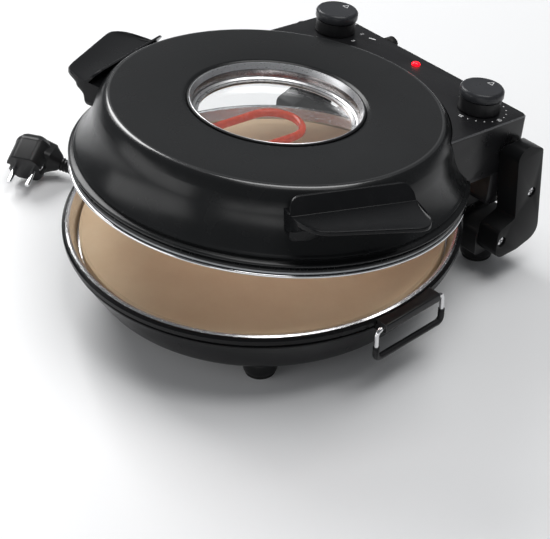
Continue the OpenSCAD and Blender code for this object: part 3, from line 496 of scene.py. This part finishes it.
def make_lid_ring():
    """Steel band under the lid: a bright rolled lip, a satin band and a painted bead."""
    r = LID_RING_R
    lip = [(r - 8, -0.8), (r - 1.3, -0.8), (r - 0.5, -0.55), (r - 0.1, -0.1), (r, 0.5), (r - 0.1, 1.1),
           (r - 0.5, 1.6), (r - 1.3, 1.95), (r - 2.0, 2.0)]
    band = [(r - 2.0, 2.5), (r - 1.5, 2.6), (r - 1.5, 4.3)]
    bead = [(r - 1.0, 4.4), (r - 0.7, 4.7), (r - 0.7, 6.3), (r - 1.1, 6.9), (r - 2.9, 7.0)]
    inside = [(r - 2.9, 0.9), (r - 8, 0.9)]
    ring = fix_normals(revolve("ring", lip + band + bead + inside, 288))
    add_piece("lid_ring_rolled", ring, "lid", [RING, CHROME, LID_PAINT], ON_LID, "lid_ring", 50)
    mark_faces(ring, ON_LID, lambda p: p.z < 1.97)
    mark_faces(ring, ON_LID, lambda p: p.z > 4.32 and math.hypot(p.x, p.y) > r - 2, 2)


def make_window():
    """Polished wall round the sunk glass, under a thin black bezel; the wall's inner face takes a darker, warmer
    copy of its steel as painted shade with a painted warm reflection.
    """
    wall, top, sill = WINDOW_R - 2.6, LID_H - 2.35, GLASS_Z - 3.2
    outside = [(wall - 6, sill), (wall + 1.2, sill), (wall + 1.2, top - 2), (WINDOW_R + 0.1, top - 1.4),
               (WINDOW_R + 0.1, top + 0.05), (WINDOW_R + 0.4, top + 0.1), (WINDOW_R + 0.4, top + 2.2)]
    inside = [(WINDOW_R + 0.1, top + 2.4), (WINDOW_R - 0.4, top + 2.3), (wall, top - 2.6),
              (wall - 0.3, top - 3.1), (wall - 0.6, GLASS_Z + 1.0), (wall - 1.4, GLASS_Z + 0.2),
              (wall - 2.6, GLASS_Z - 0.1), (wall - 2.8, sill + 1.2), (wall - 6, sill + 1.2)]
    trim = fix_normals(revolve("trim", outside + inside, 256))
    add_piece("window_trim_polished", trim, "lid", [TRIM, TRIM_WALL_SHADE], ON_LID, "window_trim",
              40)
    # The wall's inner face takes the darker copy: painted shade and reflection
    mark_faces(trim, ON_LID, lambda p: GLASS_Z + 0.9 < p.z < top - 2.7)
    bezel = [(WINDOW_R + 0.4, top + 0.1), (WINDOW_R + 1.6, top + 0.2), (WINDOW_R + 2.1, top + 1.2),
             (WINDOW_R + 1.7, top + 2.0), (WINDOW_R + 1.0, top + 2.35), (WINDOW_R + 0.4, top + 2.3)]
    add_piece("window_bezel", fix_normals(revolve("bezel", bezel, 256)), "lid", KNOB_SKIRT, ON_LID,
              smooth_angle=60)
    pane = [(0, GLASS_Z - 3.2), (wall - 3.4, GLASS_Z - 3.2), (wall - 3.0, GLASS_Z - 2.8),
            (wall - 3.0, GLASS_Z - 0.4), (wall - 3.4, GLASS_Z), (0, GLASS_Z)]
    add_piece("window_pane", fix_normals(revolve("pane", pane, 128)), "lid", GLASS, ON_LID, "window_glass",
              30)


# ---------- lid handles ----------
# Points [distance along a handle, reach of its tongue from the lid's axis]
TONGUE_REACH = [(-54, 157), (-53.6, 162), (-53, 166), (-51, 171), (-48, 176.6), (-44.5, 181.4),
                (-40, 184.6), (-30, 187), (0, 191.8), (30, 196.6), (38, 197.8), (43, 197.5), (47, 195.3),
                (50, 191.6), (52, 186.5), (53, 181), (53.6, 172), (54, 157)]


def handle_section(t):
    """Outline [outward, up] of a handle across its length, at distance t along it."""
    reach = next(a[1] + (b[1] - a[1]) * (t - a[0]) / (b[0] - a[0])
                 for a, b in zip(TONGUE_REACH, TONGUE_REACH[1:]) if a[0] <= t <= b[0])
    end = HANDLE_LEN / 2 - abs(t)
    z_top = LID_H - 2 - (10 - math.sqrt(100 - (10 - end) ** 2) if end < 10 else 0)
    z_low = LID_H - 38 + (8 - math.sqrt(64 - (8 - end) ** 2) if end < 8 else 0)

    def back(z):
        return max(math.sqrt(max(lid_radius(z) ** 2 - t * t, 0)) + 0.2, 141)

    def lean(z):
        return HANDLE_FACE - PLATE_LEAN * max(z - CREASE_Z, 0)

    while back(z_low) > HANDLE_FACE - 0.8 and z_low < 45:
        z_low += 0.25
    low_out = min(HANDLE_FACE + 10, reach)
    front = [(lean(z_top), z_top, 1.0), (HANDLE_FACE, CREASE_Z, 1.2), (reach, 52.6, 1.3), (reach, 48.8, 1.3),
             (low_out, 45, 5), (HANDLE_FACE + 1, 38.5, 3), (HANDLE_FACE, z_low, 1.5)]
    low_heights = [z_low + (51 - z_low) * k / 4 for k in range(5)]
    high_heights = [52 + (z_top - 52.4) * k / 4 for k in range(5)]
    outline = [Vector((back(z), z)) for z in low_heights]
    outline += [Vector((max(back(z), lean(z) - PLATE_T), z)) for z in high_heights]
    ends = (max(back(z_top), lean(z_top) - PLATE_T), z_top, 0), (back(z_low), z_low, 0)
    turned = rounded([ends[0]] + front + [ends[1]], 4)[5:-5]
    crease, tip = turned[9], turned[10]
    dish = [crease.lerp(tip, u) - Vector((0, 6.4 * u * (1 - u) * min(1, (reach - HANDLE_FACE) / 30)))
            for u in (0.12, 0.25, 0.4, 0.55, 0.7, 0.85, 0.94)]
    return outline + turned[:10] + dish + turned[10:]


def make_handle(name, side):
    """Moulded handle on one side of the lid: a leaning plate and a dished tongue."""
    half = HANDLE_LEN / 2
    ends = [half - 0.01, half - 0.25]
    stations = [-t for t in ends] + [-53.4, -52.5, -51, -49, -46.5, -44, -41, -37, -30, -22, -12, 0, 12, 22,
                                     30, 36, 40, 43.5, 46, 48.5, 50.5, 52, 53, 53.5] + ends[::-1]
    rings = []
    for i, t in enumerate(stations):
        ring = handle_section(t)
        if i in (0, len(stations) - 1):
            middle = sum(ring, Vector((0, 0))) / len(ring)
            ring = [middle + (p - middle) * 0.97 for p in ring]
        rings.append([(p.x, t, p.y) for p in ring])
    turn = Matrix.Rotation(math.radians(-HANDLE_TURN), 4, "Z")
    place = ON_LID @ (MIRROR_X if side < 0 else Matrix.Identity(4)) @ turn
    add_piece(name + "_moulded", loft(name, rings), "lid", HANDLE, place, name, 32)


# ---------- knobs and dials ----------
def ribbon(name, strokes, width, place):
    """Flat printed strokes, each a run of points [x, y], standing a little above z = 0."""
    box = (3, 2, 1, 0), (4, 5, 6, 7), (0, 1, 5, 4), (1, 2, 6, 5), (2, 3, 7, 6), (3, 0, 4, 7)
    points, faces = [], []
    for stroke in strokes:
        for a, b in zip(stroke, stroke[1:]):
            a, b = Vector(a), Vector(b)
            along = (b - a).normalized() * width / 2
            across = Vector((-along.y, along.x))
            base = len(points)
            corners = [a - along - across, b + along - across, b + along + across, a - along + across]
            points += [(c.x, c.y, z) for z in (0, PRINT_H) for c in corners]
            faces += [[base + k for k in face] for face in box]
    mesh = mesh_from(name, points, faces)
    mesh.transform(place)
    return mesh


# Strokes of each digit in a box one unit wide and two high
DIGITS = {
    "0": [[(0, 0), (1, 0), (1, 2), (0, 2), (0, 0)]],
    "1": [[(0.1, 1.5), (0.6, 2), (0.6, 0)]],
    "2": [[(0, 2), (1, 2), (1, 1), (0, 1), (0, 0), (1, 0)]],
    "3": [[(0, 2), (1, 2), (1, 0), (0, 0)], [(0.2, 1), (1, 1)]],
    "5": [[(1, 2), (0, 2), (0, 1.1), (1, 1.1), (1, 0), (0, 0)]],
}


def number_strokes(text, size):
    """Strokes of a number, centred, with digits `size` high."""
    scale = size / 2
    shift = -(len(text) * 1.5 - 0.5) / 2
    return [[((x + shift + 1.5 * i) * scale, (y - 1) * scale) for x, y in stroke]
            for i, digit in enumerate(text) for stroke in DIGITS[digit]]


def make_dial(name, x, numbers, dots, radius):
    """White numbers and dots on the housing round one knob."""
    centre = Vector((x, KNOB_Y, HOUSE_TOP + 0.02))
    work = bmesh.new()
    for text, angle in numbers:
        spot = centre + polar(radius, angle).to_3d()
        work.from_mesh(ribbon(name, number_strokes(text, 3.0), 0.55, Matrix.Translation(spot)))
    for angle in dots:
        spot = centre + polar(radius, angle).to_3d()
        made = bmesh.ops.create_cone(work, cap_ends=True, segments=16, radius1=0.62, radius2=0.5,
                                     depth=PRINT_H)
        bmesh.ops.translate(work, verts=made["verts"], vec=spot + Vector((0, 0, PRINT_H / 2)))
    mesh = bpy.data.meshes.new(name)
    work.to_mesh(mesh)
    work.free()
    add_piece(name, mesh, "lid", PRINT, ON_LID, smooth_angle=30)


def make_knob(node, x):
    """Knob with a dark skirt, a lighter cap with a chamfer, and a plain white pointer."""
    r, h, skirt = KNOB_R, KNOB_H, 0.58 * KNOB_H
    lower = [(r - 4.5, 0), (r - 1.4, 0), (r - 0.95, 0.4), (r - 0.9, 1.0), (r - 1.35, skirt - 0.7),
             (r - 2.2, skirt - 0.3), (r - 2.4, skirt + 0.3), (r - 4.5, skirt + 0.3)]
    cap = [(0, skirt + 0.2), (r - 2.2, skirt + 0.2), (r - 0.9, skirt + 0.3), (r - 0.25, skirt + 0.8),
           (r, skirt + 1.5), (r, h - 2.6), (r - 0.3, h - 1.9), (r - 1.5, h - 0.45), (r - 2.2, h - 0.12),
           (r - 3.2, h - 0.05), (r - 4.4, h - 0.25), (0, h - 0.25)]
    place = ON_LID @ Matrix.Translation((x, KNOB_Y, HOUSE_TOP + KNOB_GAP))
    add_piece(node + "_cap", fix_normals(revolve(node, cap, 128)), node, KNOB, place, node,
              30)
    add_piece(node + "_skirt", fix_normals(revolve(node, lower, 128)), node, KNOB_SKIRT, place,
              smooth_angle=30)
    y = r - 10.2
    triangle = [(-2.7, y), (2.7, y), (0, y + 5.2), (-2.7, y)]
    pointer = ribbon(node, [triangle], 0.5, Matrix.Translation((0, 0, h - 0.26)))
    add_piece(node + "_pointer", pointer, node, PRINT, place)


def make_controls():
    """Timer knob on the right and heat knob on the left, with their dials."""
    make_knob("heat_knob", -KNOB_X)
    make_knob("timer_knob", KNOB_X)
    make_dial("timer_dial", KNOB_X, [("15", 272), ("10", 359), ("5", 86), ("0", 173)],
              [272 + 17.4 * k for k in range(1, 15) if k % 5], 24.2)
    make_dial("heat_dial", -KNOB_X, [("0", 90), ("1", 133), ("2", 41), ("3", 358)], [275, 316], 25.5)
    beside = Matrix.Translation((-KNOB_X + 29.5, KNOB_Y + 17, HOUSE_TOP + 0.02))
    bar = ribbon("heat_mark", [[(0, 0), (4.6, 2.0)]], 1.7, beside)
    add_piece("heat_mark", bar, "lid", PRINT, ON_LID)


# ---------- hinge ----------
def block(outline, low, high):
    """Rings of a prism of a closed outline [y, z] from x = low to x = high, with softened ends."""
    middle = sum(outline, Vector((0, 0))) / len(outline)
    soft = 0.9
    ends = (low, soft), (low + 0.3 * soft, 0.3 * soft), (low + soft, 0)
    ends += (high - soft, 0), (high - 0.3 * soft, 0.3 * soft), (high, soft)
    return [[(x, *(p - (p - middle).normalized() * inset)) for p in outline] for x, inset in ends]


def make_hinge():
    """Front flanks of the lid's lugs, which fill the corner between the housing and the arms."""
    flank = rounded([(LUG_FRONT - 6.5, 10, 0), (LUG_FRONT - 6.5, -16, 2), (LUG_FRONT - 4, -21, 2),
                     (LUG_FRONT + 12, -21, 2), (LUG_FRONT + 12, -11, 2), (LUG_FRONT + 10, 10, 0)])
    for side, mirror in (("right", Matrix.Identity(4)), ("left", MIRROR_X)):
        add_piece("lug_flank_" + side, loft("flank", block(flank, FLANK_IN, FLANK_OUT)), "lid", HOUSING,
                  ON_LID @ mirror, smooth_angle=40)


# ---------- camera, floor and light ----------
def make_camera():
    """The photograph's camera, as fitted to the round rim, the lid's ring and the window."""
    right, up = Vector((0.6626, 0.7490, 0)), Vector((-0.4561, 0.4035, 0.7933))
    back = Vector((0.5941, -0.5256, 0.6089))
    camera = bpy.data.cameras.new("camera")
    camera.lens = 112.28
    camera.sensor_width = 36
    camera.clip_end = 30
    view = bpy.data.objects.new("camera", camera)
    view.matrix_world = Matrix.Translation((0.9190, -0.81614, 0.9408)) @ axes(right, up, back)
    bpy.context.scene.collection.objects.link(view)
    bpy.context.scene.camera = view


def make_floor():
    """Plain pale floor."""
    paint = Paint("floor", (0.93, 0.935, 0.94), 0.34)
    paint.vary_color(paint.noise(1.2, 2), (0.95, 0.95, 0.955))
    half = 12
    corners = [(-half, -half, 0), (half, -half, 0), (half, half, 0), (-half, half, 0)]
    mesh = mesh_from("floor", corners, [(0, 1, 2, 3)])
    mesh.materials.append(paint.material)
    floor = bpy.data.objects.new("floor", mesh)
    bpy.context.scene.collection.objects.link(floor)


def area_light(name, place, target, size, power):
    """Soft box of a size in metres that faces a target."""
    light = bpy.data.lights.new(name, "AREA")
    light.shape = "RECTANGLE"
    light.size, light.size_y = size
    light.energy = power
    lamp = bpy.data.objects.new(name, light)
    lamp.location = place
    lamp.rotation_euler = (Vector(target) - Vector(place)).to_track_quat("-Z", "Y").to_euler()
    bpy.context.scene.collection.objects.link(lamp)


def make_light():
    """Pale room with soft boxes: the key on the left, the others to lift edges and metal."""
    world = bpy.data.worlds.new("studio")
    bpy.context.scene.world = world
    world.use_nodes = True
    background = world.node_tree.nodes["Background"]
    background.inputs["Color"].default_value = (0.80, 0.83, 0.87, 1)
    background.inputs["Strength"].default_value = 0.17
    area_light("key", (-1.75, 0.25, 1.45), (0, 0, 0.1), (1.1, 1.1), 29)
    area_light("front", (-0.9, -1.9, 0.62), (0, 0, 0.08), (2.2, 0.85), 12)
    area_light("rear", (-1.35, 1.5, 1.1), (0, 0, 0.15), (1.5, 0.9), 0.8)
    area_light("fill", (1.6, -1.75, 0.42), (0, 0, 0.1), (1.8, 0.45), 5)
    area_light("top", (0.3, 0.5, 2.3), (0, 0, 0), (1.6, 1.6), 33)
    bpy.context.scene.view_settings.view_transform = "Standard"


# ---------- route of the cord, as in the CAD source ----------
CORD_R = CORD_D / 2
TIE_T = 0.8
FLOOR_Z = CORD_R + TIE_T + 0.1
RELIEF_X = 20
RELIEF_ROOT = Vector((RELIEF_X, RIM_R - 27.5, 21))
RELIEF_LEN = 36
RELIEF_DIP = math.radians(20)
RELIEF_DIR = Vector((0, math.cos(RELIEF_DIP), -math.sin(RELIEF_DIP)))
RELIEF_TIP = RELIEF_ROOT + RELIEF_LEN * RELIEF_DIR
COIL_R = 45
COIL_STEP = 8.6
COIL_LAYER = CORD_D + 0.5
COIL_TURN = 810
CLIMB_FROM, CLIMB_TURN = 315, 180
COIL_MID = Vector((RELIEF_X - COIL_R, 212, 0))
PLUG_R = 18.5


def coil_point(angle):
    """Point of the coil: it spirals in, climbs to its second layer and spirals out again."""
    radius = COIL_R - COIL_STEP * min(angle, COIL_TURN - angle) / 360
    t = min(1, max(0, (angle - CLIMB_FROM) / CLIMB_TURN))
    lift = COIL_LAYER * t * t * (3 - 2 * t)
    turn = math.radians(angle)
    return COIL_MID + Vector((radius * math.cos(turn), radius * math.sin(turn), FLOOR_Z + lift))


def plug_frame():
    """Plug's face centre, pin axis and neck axis."""
    turn, tip, slope = math.radians(31), math.radians(18), math.radians(18)
    axis = Vector((math.sin(turn) * math.cos(tip), -math.cos(turn) * math.cos(tip), -math.sin(tip)))
    side = Vector((math.cos(turn), math.sin(turn), 0))
    neck = Vector((side.x * math.cos(slope), side.y * math.cos(slope), -math.sin(slope)))
    centre = Vector((-258.5, -76.5, PLUG_R * math.cos(tip) + 0.1))
    return centre, axis, side, neck


PLUG_CENTRE, PLUG_AXIS, PLUG_SIDE, NECK_DIR = plug_frame()
NECK_FROM = PLUG_CENTRE - 23 * PLUG_AXIS
NECK_LEN = 44
NECK_END = NECK_FROM + NECK_LEN * NECK_DIR


def cord_path():
    """The whole cord, from the strain relief through the coil to the plug."""
    coil_in = Vector((RELIEF_X, COIL_MID.y - CORD_D, FLOOR_Z))
    coil_out = Vector((COIL_MID.x - CORD_D, COIL_MID.y + COIL_R, FLOOR_Z + COIL_LAYER))
    lead = [RELIEF_TIP + CORD_D * RELIEF_DIR, coil_in - Vector((0, 8, 0))]
    rings = round(48 * COIL_TURN / 360)
    coil = [coil_point(COIL_TURN * i / rings) for i in range(rings + 1)]
    run = [coil_out - Vector((8, 0, 0)), (-62, 255, 9.5), (-85, 249, 4.7), (-115, 232, 4.7),
           (-143, 205, 4.7), (-163, 170, 4.7), (-176, 130, 4.7), (-184, 90, 4.7), (-187, 50, 4.7),
           (-187, 15, 4.7), (-192, -10, 5), NECK_END + 10 * NECK_DIR]
    return [RELIEF_TIP, *catmull(lead, 4), coil_in, *coil, coil_out, *catmull(run, 6), NECK_END]


# ---------- plug and cord ----------
def plug_section(groove, scale):
    """Outline across the plug: a drum with flat top and bottom, and a groove that deep on each side."""
    flat = 16
    arc = [PLUG_R * polar(1, angle) for angle in range(14, 90, 6)]
    quarter = [Vector((PLUG_R - groove, 0)), Vector((PLUG_R - groove, 3.9)), Vector((PLUG_R - 0.6, 4.4))]
    quarter += [Vector((p.x, min(p.y, flat))) for p in arc] + [Vector((0, flat))]
    half = quarter + [Vector((-p.x, p.y)) for p in reversed(quarter[:-1])]
    whole = half + [Vector((p.x, -p.y)) for p in reversed(half[1:-1])]
    return [p * scale for p in whole]


def make_plug_drum(place):
    """Body of the plug, from stations of [distance behind the face, depth of the grooves, scale]."""
    stations = [(0, 3.4, 0.965), (0.5, 3.4, 0.99), (1.4, 3.4, 1), (21, 3.4, 1), (21.6, 0.8, 1),
                (24, 0.8, 1), (24.4, 0.8, 1.02), (27, 0.8, 1.02), (27.5, 0.6, 1.0), (31, 0.6, 0.90),
                (33.4, 0.5, 0.76), (34, 0.5, 0.66)]
    rings = [[(p.x, p.y, -back) for p in plug_section(groove, scale)] for back, groove, scale in stations]
    return add_piece("plug_drum", loft("drum", rings), "base", CORD, place, "plug_body", 34)


def make_earth_clip(name, side, place):
    """Bright bowed strip in the groove on one side of the plug."""
    strip = rounded([(15.3, -2.2, 0.3), (15.9, -2.2, 0.3), (15.9, 2.2, 0.3), (15.3, 2.2, 0.3)], 2)
    bows = (1.5, -0.8), (4, 0), (10, 0.9), (16, 0.3), (20.8, -0.8)
    rings = [[(side * p.x + side * bow, p.y, -back) for p in strip] for back, bow in bows]
    return add_piece(name, loft(name, rings), "base", CHROME, place)


def neck_ring(along, size, square):
    """Ring across the neck, from a circle where `square` is 0 to a rounded square where it is 1."""
    power = 2 + 3 * square
    ring = []
    for k in range(40):
        spot = polar(1, 9 * k)
        reach = (abs(spot.x) ** power + abs(spot.y) ** power) ** (-1 / power)
        ring.append((*(spot * reach * size), along))
    return ring


def make_plug_neck():
    """Squared elbow that narrows into a ribbed neck."""
    elbow = [(2, 12.6, 1), (19, 12.2, 1), (20.5, 11.0, 0.9), (24, 9.2, 0.6), (28, 7.4, 0.3)]
    ribs = [(30 + 1.5 * k, 6.9 - 0.16 * k if k % 2 else 5.9 - 0.12 * k, 0) for k in range(9)]
    rings = [neck_ring(*station) for station in elbow + ribs + [(NECK_LEN - 0.1, 4.9, 0)]]
    across = NECK_DIR.cross(Vector((0, 0, 1))).normalized()
    place = ON_BASE @ Matrix.Translation(NECK_FROM) @ axes(across, NECK_DIR.cross(across), NECK_DIR)
    return add_piece("plug_neck", loft("neck", rings), "base", CORD, place,
                     smooth_angle=34)


def make_plug():
    """Angled earthed plug, whose pieces go with the cord."""
    turn = axes(PLUG_SIDE, PLUG_AXIS.cross(PLUG_SIDE), PLUG_AXIS)
    place = ON_BASE @ Matrix.Translation(PLUG_CENTRE) @ turn
    return [make_plug_drum(place), make_earth_clip("plug_clip_right", 1, place),
            make_earth_clip("plug_clip_left", -1, place), make_plug_neck()]


def make_cord(plug):
    """The cord as one tube along its route."""
    path = [ON_BASE @ p for p in cord_path()]
    curve = bpy.data.curves.new("cord", "CURVE")
    curve.dimensions = "3D"
    spline = curve.splines.new("POLY")
    spline.points.add(len(path) - 1)
    for point, place in zip(spline.points, path):
        point.co = (*(place * MM), 1)
    curve.bevel_depth = CORD_R * MM
    curve.bevel_resolution = 5
    curve.use_fill_caps = True
    curve.materials.append(CORD)
    cord = bpy.data.objects.new("cord", curve)
    bpy.context.scene.collection.objects.link(cord)
    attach(cord, "base")
    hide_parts("cord_lead", "cord_coil", "cord_run")


# ---------- CAD nodes with softer edges ----------
# Width of the rounded edges of the moulded parts, which take a painted highlight
EDGE_WIDTHS = {"arm_right": 1.3, "arm_left": 1.3, "housing_shell": 1.3, "bracket_right": 1.1,
               "bracket_left": 1.1, "bail_bracket_right": 0.9, "bail_bracket_left": 0.9, "hinge_lugs": 1.0}
SMOOTHED = ["bail_wire_right", "bail_wire_left", "bail_sleeve_right", "bail_sleeve_left", "upper_heater",
            "lower_heater", "front_feet", "rear_feet", "rear_bumpers"]


def soften_nodes():
    """Rounds the moulded parts' edges with a painted highlight on them, paints the same highlight round the
    housing's top, and smooths tubes and turned parts.
    """
    for node, width in EDGE_WIDTHS.items():
        piece = softened(node, width, [NODE_MATERIALS[node], PAINTED_EDGE_HIGHLIGHT])
        # A band round the housing's top takes the painted highlight too
        if node == "housing_shell":
            mark_faces(piece.data, ON_LID, lambda p: HOUSE_TOP - 1.45 < p.z < HOUSE_TOP - 0.02)
    for node in SMOOTHED:
        softened(node, 0, NODE_MATERIALS[node], 45)


make_camera()
paint_nodes()
make_cord(make_plug())
make_lid_shell()
make_lid_ring()
make_window()
make_handle("handle_right", 1)
make_handle("handle_left", -1)
make_controls()
make_hinge()
soften_nodes()
make_floor()
make_light()
